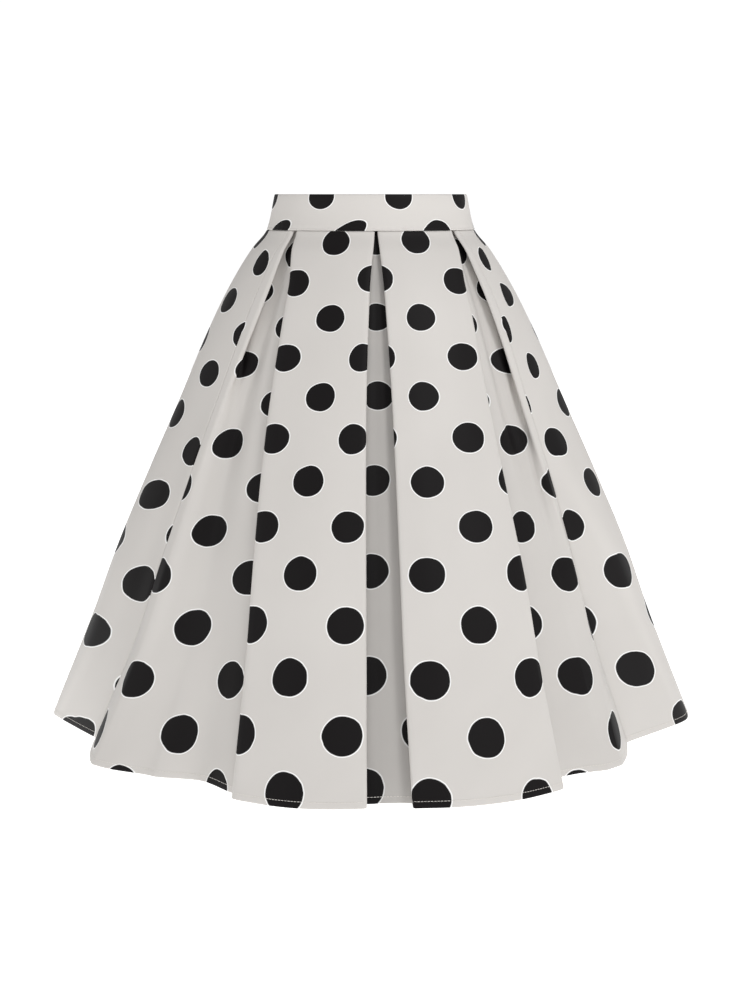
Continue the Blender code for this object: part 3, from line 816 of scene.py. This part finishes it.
def dot_masks(tree, place, thread, wide):
    """One inside the dots, and one in the unprinted hairline round them."""
    column, row = (add(tree, "ShaderNodeSeparateXYZ", [place], out) for out in (0, 1))
    nearest = []
    for operation in ("ADD", "SUBTRACT"):
        turned = add(tree, MATH, [column, row], operation=operation)
        turned = add(tree, MATH, [turned, 0.5], operation="MULTIPLY")
        nearest.append(add(tree, MATH, [turned], operation="ROUND"))
    squares = []
    for at, operation, stretched in ((column, "ADD", wide), (row, "SUBTRACT", 1)):
        middle = add(tree, MATH, nearest, operation=operation)
        away = add(tree, MATH, [at, middle], operation="SUBTRACT")
        away = add(tree, MATH, [away, stretched], operation="DIVIDE")
        squares.append(add(tree, MATH, [away, away], operation="MULTIPLY"))
    distance = add(tree, MATH, [add(tree, MATH, squares, operation="ADD")], operation="SQRT")
    wander = add(tree, "ShaderNodeTexNoise", {0: thread, 2: EDGE_CELLS, 3: 1.0})
    radius = add(tree, MATH, [wander, EDGE_WANDER, DOT_RADIUS - EDGE_WANDER / 2],
                 operation="MULTIPLY_ADD")
    past = add(tree, MATH, [distance, radius], operation="SUBTRACT")
    return [add(tree, "ShaderNodeMapRange", {0: past, 1: edge + EDGE_SOFT, 2: edge - EDGE_SOFT},
                interpolation_type="SMOOTHSTEP") for edge in (0, RING_WIDTH)]


# Thread spacing of the satin. The real one, about 0.2 mm, is too fine to show here.
WEAVE_SPACING = 0.0011
# Spacing of the tape's ribs. The real ones are half as far apart.
RIB_SPACING = 0.0008


def make_cloth_materials(settings):
    # Polyester satin: a smooth, close-woven face with a soft wide gloss, and a print with a hard
    # edge. The dots are dyed deep black and take a little of the gloss away.
    for name, dye in ((FACE, 1.0), (REVERSE, 0.55)):
        made, tree, shader = fresh_material(name)
        place, thread, stretch = (add(tree, "ShaderNodeUVMap", uv_map=title)
                                  for title in ("print", "thread", "stretch"))
        # Light hardly reaches the cloth behind the pleats' edges, which is drawn a little darker
        wide, shade = (add(tree, "ShaderNodeSeparateXYZ", [stretch], out) for out in (0, 1))
        dot, ring = dot_masks(tree, place, thread, wide)
        cloud = add(tree, "ShaderNodeTexNoise", {0: thread, 2: CLOUD_CELLS, 3: 2.0})
        ink = add(tree, MATH, [dot, dye], operation="MULTIPLY")
        colour = linear(settings.ground_colour)
        for share, over in ((cloud, settings.shade_colour), (ring, settings.ring_colour),
                            (ink, settings.dot_colour)):
            colour = add(tree, MIX, {0: share, 6: colour, 7: linear(over)}, 2, data_type="RGBA")
        # Fine threads down and across the cloth, with the slight unevenness of yarn
        down, across = (
            add(tree, "ShaderNodeTexWave",
                {0: thread, 1: pi / 10 / WEAVE_SPACING * finer, 2: 0.6, 3: 2.0}, 1,
                bands_direction=way)
            for way, finer in (("X", 1), ("Y", 1.6))
        )
        yarn = add(tree, MATH, [across, 0.5, down], operation="MULTIPLY_ADD")
        plug(tree, shader, {
            # Painted shade: the base colour is multiplied by the darkening behind the pleats' edges
            "Base Color": add(tree, "ShaderNodeVectorMath", [colour, shade], operation="MULTIPLY"),
            "Roughness": add(tree, "ShaderNodeMapRange", {0: ink, 3: 0.46, 4: 0.58}),
            "Normal": add(tree, "ShaderNodeBump", {0: 0.10, 1: 0.0001, 3: yarn}),
            "Specular IOR Level": 0.16,
            "Sheen Weight": 0.03,
            "Sheen Roughness": 0.35,
        })


def make_trim_materials(settings):
    # Spun polyester thread: matt, a little lighter than the cloth, with a fine twist
    made, tree, shader = fresh_material(THREAD)
    place = add(tree, "ShaderNodeTexCoord", out=3)
    twist = add(tree, "ShaderNodeTexNoise", {0: place, 2: TWIST_CELLS, 3: 1.0})
    plug(tree, shader, {
        "Base Color": add(tree, MIX, {0: twist, 6: linear(settings.thread_colour),
                                      7: linear(settings.ground_colour)}, 2, data_type="RGBA"),
        "Normal": add(tree, "ShaderNodeBump", {0: 0.3, 1: 0.0001, 3: twist}),
        "Roughness": 0.75,
    })
    # Woven zip tape: a herringbone of ribs along it, dull and soft-edged
    made, tree, shader = fresh_material(TAPE)
    thread = add(tree, "ShaderNodeUVMap", uv_map="thread")
    ribs = [add(tree, "ShaderNodeTexWave", {0: thread, 1: pi / 10 / RIB_SPACING, 2: bent}, 1,
                bands_direction=way) for way, bent in (("X", 0.0), ("DIAGONAL", 1.0))]
    weave = add(tree, MATH, ribs, operation="MULTIPLY")
    plug(tree, shader, {
        "Base Color": add(tree, MIX, {0: weave, 6: linear(hex_colour("D9D2C7")),
                                      7: linear(hex_colour("EAE5DC"))}, 2, data_type="RGBA"),
        "Normal": add(tree, "ShaderNodeBump", {0: 0.5, 1: 0.0002, 3: weave}),
        "Roughness": 0.8,
    })
    # Moulded nylon: smooth and slightly waxy, so light bleeds a little into each loop
    made, tree, shader = fresh_material(COIL)
    place = add(tree, "ShaderNodeTexCoord", out=3)
    cloud = add(tree, "ShaderNodeTexNoise", {0: place, 2: WAX_CELLS, 3: 1.0})
    plug(tree, shader, {
        "Base Color": add(tree, MIX, {0: cloud, 6: linear(hex_colour("E2DCD1")),
                                      7: linear(hex_colour("F0ECE4"))}, 2, data_type="RGBA"),
        "Roughness": 0.35,
        "Subsurface Weight": 0.1,
        "Subsurface Scale": 0.0005,
    })
    # Enamelled zinc casting: an even coat with an orange-peel skin, rubbed to bare grey here and
    # there
    made, tree, shader = fresh_material(ENAMEL)
    place = add(tree, "ShaderNodeTexCoord", out=3)
    peel = add(tree, "ShaderNodeTexNoise", {0: place, 2: PEEL_CELLS, 3: 2.0})
    rubbed = add(tree, "ShaderNodeMapRange", {0: peel, 1: 0.66, 2: 0.72})
    plug(tree, shader, {
        "Base Color": add(tree, MIX, {0: rubbed, 6: linear(hex_colour("EAE4D8")),
                                      7: linear(hex_colour("B9B5AE"))}, 2, data_type="RGBA"),
        "Roughness": add(tree, "ShaderNodeMapRange", {0: peel, 3: 0.25, 4: 0.4}),
        "Normal": add(tree, "ShaderNodeBump", {0: 0.15, 1: 0.0001, 3: peel}),
    })


def model_stitch():
    """One stitch a unit long and wide: a bead of thread whose ends dive into the cloth."""
    deselect()
    bpy.ops.mesh.primitive_cylinder_add(vertices=6, radius=0.5, depth=0.5, rotation=(0, pi / 2, 0))
    made = bpy.context.object
    bpy.ops.object.transform_apply(rotation=True)
    bpy.ops.object.mode_set(mode="EDIT")
    for side in (1, -1):
        bpy.ops.mesh.select_all(action="DESELECT")
        shape = bmesh.from_edit_mesh(made.data)
        for face in shape.faces:
            face.select = face.normal.x * side > 0.9
        bmesh.update_edit_mesh(made.data)
        bpy.ops.mesh.extrude_region_move(TRANSFORM_OT_translate={"value": (side * 0.18, 0, -0.15)})
        bpy.ops.transform.resize(value=(1, 0.8, 0.8))
        bpy.ops.mesh.extrude_region_move(TRANSFORM_OT_translate={"value": (side * 0.08, 0, -0.5)})
        bpy.ops.transform.resize(value=(1, 0.5, 0.5))
    bpy.ops.object.mode_set(mode="OBJECT")
    return made


def model_loop():
    """One loop of the zip's coil, a unit wide and deep."""
    deselect()
    bpy.ops.mesh.primitive_torus_add(major_segments=12, minor_segments=5, major_radius=0.42,
                                     minor_radius=0.13)
    made = bpy.context.object
    bpy.ops.object.mode_set(mode="EDIT")
    bpy.ops.mesh.select_all(action="DESELECT")
    shape = bmesh.from_edit_mesh(made.data)
    for vert in shape.verts:
        vert.select = vert.co.x > 0.1
    shape.select_flush_mode()
    bmesh.update_edit_mesh(made.data)
    bpy.ops.transform.translate(value=(0, 0, 0.2))
    bpy.ops.object.mode_set(mode="OBJECT")
    return made


def copies(name, model, places, material):
    """One mesh of the model's copies, each with its own axes and place, given as columns."""
    count = len(model.data.vertices)
    flat = np.empty(count * 3)
    model.data.vertices.foreach_get("co", flat)
    points = flat.reshape(-1, 3)
    faces = [list(face.vertices) for face in model.data.polygons]
    bpy.data.objects.remove(model)
    laid = np.einsum("nij,vj->nvi", places[:, :, :3], points) + places[:, None, :, 3]
    mesh = bpy.data.meshes.new(name)
    mesh.from_pydata(laid.reshape(-1, 3).tolist(), [],
                     [[v + i * count for v in face] for i in range(len(places)) for face in faces])
    mesh.shade_smooth()
    mesh.materials.append(bpy.data.materials[material])
    made = fresh_object(name, mesh)
    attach(made, "skirt")
    return made


# Distance from one stitch to the next over a stitch's length
STITCH_PITCH = 1.18


def stitch_places(line, out, settings, lift):
    """Axes and place of each stitch along a line of points, with the way out of the cloth."""
    steps = np.linalg.norm(np.diff(line, axis=0), axis=1)
    length = np.concatenate([[0], np.cumsum(steps)])
    pitch = settings.stitch_length * STITCH_PITCH
    middles = np.arange(pitch, length[-1] - pitch / 2, pitch)
    places = []
    for middle in middles:
        ends = [np.array([np.interp(middle + half * settings.stitch_length / 2, length, line[:, k])
                          for k in range(3)]) for half in (-1, 1)]
        normal = np.array([np.interp(middle, length, out[:, k]) for k in range(3)])
        along = ends[1] - ends[0]
        across = np.cross(normal, along)
        across *= settings.thread_thickness / np.linalg.norm(across)
        up = np.cross(along, across)
        up *= settings.thread_thickness / np.linalg.norm(up)
        place = (ends[0] + ends[1]) / 2 + normal * lift
        places.append(np.stack([along, across, up, place], -1))
    return np.array(places)


class SkirtClothSettings(bpy.types.PropertyGroup):
    cloth_thickness: bpy.props.FloatProperty(
        name="Cloth Thickness", description="Thickness of the panels' shell", default=0.0008,
        min=0.0003, max=0.0012, unit="LENGTH")
    hem_depth: bpy.props.FloatProperty(
        name="Hem Depth", description="How far the lower edge is turned up inside",
        default=0.0095, min=0.004, max=0.03, unit="LENGTH")
    stitch_length: bpy.props.FloatProperty(
        name="Stitch Length", description="Length of one stitch", default=0.0030, min=0.001,
        max=0.006, unit="LENGTH")
    thread_thickness: bpy.props.FloatProperty(
        name="Thread Thickness", description="Width of the sewing thread as it is drawn",
        default=0.00055, min=0.0002, max=0.001, unit="LENGTH")
    ground_colour: bpy.props.FloatVectorProperty(
        name="Ground Colour", description="Colour of the unprinted cloth", subtype="COLOR",
        size=3, default=hex_colour("DAD6D2"), min=0, max=1)
    shade_colour: bpy.props.FloatVectorProperty(
        name="Shade Colour", description="Colour of the cloth's slightly darker clouds",
        subtype="COLOR", size=3, default=hex_colour("D2CECA"), min=0, max=1)
    ring_colour: bpy.props.FloatVectorProperty(
        name="Ring Colour", description="Colour of the hairline round each dot",
        subtype="COLOR", size=3, default=hex_colour("FBFAF9"), min=0, max=1)
    dot_colour: bpy.props.FloatVectorProperty(
        name="Dot Colour", description="Colour of the printed dots", subtype="COLOR", size=3,
        default=hex_colour("120F10"), min=0, max=1)
    thread_colour: bpy.props.FloatVectorProperty(
        name="Thread Colour", description="Colour of the sewing thread", subtype="COLOR",
        size=3, default=hex_colour("E6E1D9"), min=0, max=1)


class SkirtStageSettings(bpy.types.PropertyGroup):
    floor_drop: bpy.props.FloatProperty(
        name="Floor Drop", description="Height of the waist above the floor", default=1.05,
        min=0.7, max=2.0, unit="LENGTH")
    camera_distance: bpy.props.FloatProperty(
        name="Camera Distance", description="Distance from the camera to the waist",
        default=2.2, min=1.0, max=6.0, unit="LENGTH")
    azimuth: bpy.props.FloatProperty(
        name="Azimuth", description="Where the camera stands, as degrees from straight ahead",
        default=-3.5, min=-180, max=180)
    pitch: bpy.props.FloatProperty(
        name="Pitch", description="How far the camera looks down, in degrees", default=9.5,
        min=-30, max=60)
    heading: bpy.props.FloatProperty(
        name="Heading", description="Direction that the camera looks in, in degrees",
        default=-3.63, min=-180, max=180)
    lens: bpy.props.FloatProperty(
        name="Lens", description="Focal length for a 36 mm long side", default=65.8, min=20,
        max=200, unit="CAMERA")
    sky_strength: bpy.props.FloatProperty(
        name="Sky Strength", description="Even light from all round", default=0.42, min=0,
        max=3)
    key_power: bpy.props.FloatProperty(
        name="Key Power", description="Power of the large lamp in front on the right",
        default=37, min=0, max=500, unit="POWER")
    fill_power: bpy.props.FloatProperty(
        name="Fill Power", description="Power of the lamp in front on the left", default=9,
        min=0, max=500, unit="POWER")


class SKIRT_OT_cut_materials(bpy.types.Operator):
    """Mixes the materials of the cloth, the thread and the zip"""
    bl_idname = "skirt.cut_materials"
    bl_label = "Materials"

    def execute(self, context):
        make_cloth_materials(context.scene.skirt_cloth)
        make_trim_materials(context.scene.skirt_cloth)
        return {"FINISHED"}


class SKIRT_OT_hang_panels(bpy.types.Operator):
    """Hangs the front panel and the two back panels in their pleats"""
    bl_idname = "skirt.hang_panels"
    bl_label = "Panels"

    def execute(self, context):
        for name in PANELS:
            make_panel(name, context.scene.skirt_cloth)
        return {"FINISHED"}


class SKIRT_OT_fit_waistband(bpy.types.Operator):
    """Fits the folded waistband's front and its two back pieces"""
    bl_idname = "skirt.fit_waistband"
    bl_label = "Waistband"

    def execute(self, context):
        gap = degrees_of(SEAM_GAP / 2, 0, SIDE_SEAM)
        zip_half = degrees_of(ZIP_GAP / 2, 0, 180)
        make_band("waistband_front", -SIDE_SEAM + gap, SIDE_SEAM - gap, 220)
        make_band("waistband_back_right", SIDE_SEAM + gap, 180 - zip_half, 110)
        make_band("waistband_back_left", -180 + zip_half, -SIDE_SEAM - gap, 110)
        return {"FINISHED"}


# How far the hem's stitch line lies above the hem, and the share of the thread that it stands out
HEM_LINE_RISE = 0.0062
THREAD_LIFT = 0.1


class SKIRT_OT_sew_stitches(bpy.types.Operator):
    """Sews the stitch line that holds the turned-up hem"""
    bl_idname = "skirt.sew_stitches"
    bl_label = "Stitches"

    def execute(self, context):
        settings = context.scene.skirt_cloth
        places = []
        for cloth in CLOTHS.values():
            row = int(np.argmin(np.abs(cloth.drops - (HEM_DROP - HEM_LINE_RISE))))
            out = outward(cloth.points)[row]
            lift = settings.cloth_thickness / 2 + settings.thread_thickness * THREAD_LIFT
            places.append(stitch_places(cloth.points[row], out, settings, lift))
        copies("hem_stitches", model_stitch(), np.concatenate(places), THREAD)
        return {"FINISHED"}


TAPE_TOP = 0.0135
ZIP_END = 0.2085
TAPE_ROWS = 60
TAPE_THICK = 0.0009
TAPE_SHELL = 0.0005
# One tape's columns: distance from the seam, and the share of its thickness that it's raised by
TAPE_COLUMNS = ((0.0003, 0.25), (0.0007, 0.05), (0.0014, 0), (0.0030, 0), (0.0050, 0),
                (0.0070, 0), (0.0088, 0), (0.0096, 0.1), (0.0098, 0.2))
COIL_WIDE = 0.0026
COIL_THICK = 0.0014
COIL_PITCH = 0.0013
# How far the coil's first and last loops lie inside the tapes' ends
COIL_ENDS = (0.006, 0.002)
# How deep the band's inner side lies, and a short step that gives a loop its directions
BAND_INNER = BAND_THICK - 0.0006
STEP = 0.001


def behind_seam(drop, across, depth):
    """A point inside the centre back seam, so far across it and in from the cloth's inner side."""
    inner = np.interp(drop, (BAND_DEPTH, SKIRT_TOP + STEP), (BAND_INNER, CLOTH_THICK))
    angle = 180 + degrees_of(across, drop, 180)
    return on_body(drop, np.array([angle]), np.array([inner + SEAM_GAP + depth]))[0]


class SKIRT_OT_fit_zip(bpy.types.Operator):
    """Fits the zip's two tapes and its coil, and coats its slider and pull"""
    bl_idname = "skirt.fit_zip"
    bl_label = "Zip"

    def execute(self, context):
        drops = np.linspace(TAPE_TOP + 0.0004, ZIP_END, TAPE_ROWS)
        columns = [(-across, raised) for across, raised in TAPE_COLUMNS[::-1]]
        columns += TAPE_COLUMNS
        points = np.array([[behind_seam(drop, across, TAPE_THICK / 2 + raised * TAPE_THICK)
                            for across, raised in columns] for drop in drops])
        thread = np.array([[(across, drop) for across, raised in columns] for drop in drops])
        made = fresh_object("zip_tapes", grid_mesh("zip_tapes", points, {"thread": thread}))
        thicken(made, TAPE_SHELL, TAPE)
        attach(made, "skirt")
        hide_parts("zip_tape")
        places = []
        for drop in np.arange(TAPE_TOP + COIL_ENDS[0], ZIP_END - COIL_ENDS[1], COIL_PITCH):
            middle = behind_seam(drop, 0, TAPE_THICK + 3 * SEAM_GAP + COIL_THICK / 2)
            across = behind_seam(drop, STEP, 0) - behind_seam(drop, -STEP, 0)
            deep = behind_seam(drop, 0, STEP) - behind_seam(drop, 0, 0)
            axes = [axis / np.linalg.norm(axis) * size for axis, size in
                    ((across, COIL_WIDE), (deep, COIL_THICK), (np.cross(across, deep), COIL_THICK))]
            places.append(np.stack([*axes, middle], -1))
        coil = copies("zip_coil_loops", model_loop(), np.array(places), COIL)
        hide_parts("zip_coil")
        for name in ("zip_slider", "zip_pull"):
            solid = bpy.data.objects[name]
            for slot in solid.material_slots:
                slot.material = bpy.data.materials[ENAMEL]
        return {"FINISHED"}


def look_from(settings):
    """Where the camera stands, level with the waist, and how it is turned."""
    angles = (settings.azimuth, settings.heading, settings.pitch)
    turn, heading, pitch = (radians(angle) for angle in angles)
    place = Vector((sin(turn), -cos(turn), 0)) * settings.camera_distance
    ahead = Vector((-sin(heading) * cos(pitch), cos(heading) * cos(pitch), -sin(pitch)))
    return place, ahead.to_track_quat("-Z", "Y")


# The lamps: name, place, aim and size
KEY = ("key", (1.6, -1.9, 2.0), (0, 0, -0.2), 1.0)
FILL = ("fill", (-2.6, -1.5, 0.8), (0, 0, -0.3), 1.2)
FLOOR_RADIUS = 9
SURROUND_DEPTH = 12


def soft_lamp(name, place, aim, size, power):
    lamp = bpy.data.lights.new(name, "AREA")
    lamp.shape = "DISK"
    lamp.size = size
    lamp.energy = power
    made = fresh_object(name, lamp)
    made.location = place
    made.rotation_euler = (Vector(aim) - Vector(place)).to_track_quat("-Z", "Y").to_euler()


class SKIRT_OT_set_stage(bpy.types.Operator):
    """Sets the pale floor, the white surround, the soft lamps and the camera"""
    bl_idname = "skirt.set_stage"
    bl_label = "Stage"

    def execute(self, context):
        settings = context.scene.skirt_stage
        deselect()
        # Matte paper, lit so evenly that it shows as pure white
        made, tree, shader = fresh_material(FLOOR)
        plug(tree, shader, {"Base Color": linear(hex_colour("F4F4F2")), "Roughness": 0.9,
                            "Emission Color": WHITE, "Emission Strength": 1.0})
        bpy.ops.mesh.primitive_circle_add(vertices=96, radius=FLOOR_RADIUS, fill_type="NGON",
                                          location=(0, 0, -settings.floor_drop))
        floor = context.object
        floor.name = "floor"
        floor.data.materials.append(made)
        # A white sweep all round, which lights nothing
        made, tree, shader = fresh_material(SURROUND)
        plug(tree, shader, {"Base Color": BLACK, "Emission Color": WHITE,
                            "Emission Strength": 1.0})
        bpy.ops.mesh.primitive_cylinder_add(
            vertices=96, radius=FLOOR_RADIUS - 0.1, depth=SURROUND_DEPTH, end_fill_type="NOTHING",
            location=(0, 0, SURROUND_DEPTH / 2 - settings.floor_drop))
        surround = context.object
        surround.name = "surround"
        surround.data.materials.append(made)
        surround.visible_diffuse = False
        surround.visible_glossy = False
        surround.visible_shadow = False
        world = bpy.data.worlds.new("even light")
        world.use_nodes = True
        sky = world.node_tree.nodes["Background"]
        plug(world.node_tree, sky, {"Color": WHITE, "Strength": settings.sky_strength})
        context.scene.world = world
        soft_lamp(*KEY, settings.key_power)
        soft_lamp(*FILL, settings.fill_power)
        context.scene.view_settings.view_transform = "Standard"
        lens = bpy.data.cameras.new("camera")
        lens.lens = settings.lens
        lens.sensor_width = 36
        camera = fresh_object("camera", lens)
        camera.rotation_mode = "QUATERNION"
        camera.location, camera.rotation_quaternion = look_from(settings)
        context.scene.camera = camera
        return {"FINISHED"}


STEPS = (
    SKIRT_OT_cut_materials,
    SKIRT_OT_hang_panels,
    SKIRT_OT_fit_waistband,
    SKIRT_OT_sew_stitches,
    SKIRT_OT_fit_zip,
    SKIRT_OT_set_stage,
)


class SKIRT_PT_panel(bpy.types.Panel):
    """Lists the steps that build the skirt, and its sizes and colours"""
    bl_idname = "SKIRT_PT_panel"
    bl_label = "Pleated Skirt"
    bl_space_type = "VIEW_3D"
    bl_region_type = "UI"
    bl_category = "Skirt"

    def draw(self, context):
        for settings in (context.scene.skirt_cloth, context.scene.skirt_stage):
            box = self.layout.box()
            for name in settings.__annotations__:
                box.prop(settings, name)
        for step in STEPS:
            self.layout.operator(step.bl_idname)


CLASSES = (SkirtClothSettings, SkirtStageSettings, *STEPS, SKIRT_PT_panel)


def register():
    for item in CLASSES:
        bpy.utils.register_class(item)
    bpy.types.Scene.skirt_cloth = bpy.props.PointerProperty(type=SkirtClothSettings)
    bpy.types.Scene.skirt_stage = bpy.props.PointerProperty(type=SkirtStageSettings)


def unregister():
    del bpy.types.Scene.skirt_stage
    del bpy.types.Scene.skirt_cloth
    for item in reversed(CLASSES):
        bpy.utils.unregister_class(item)


def main():
    register()
    for step in STEPS:
        group, name = step.bl_idname.split(".")
        getattr(getattr(bpy.ops, group), name)()


if __name__ == "__main__":
    main()
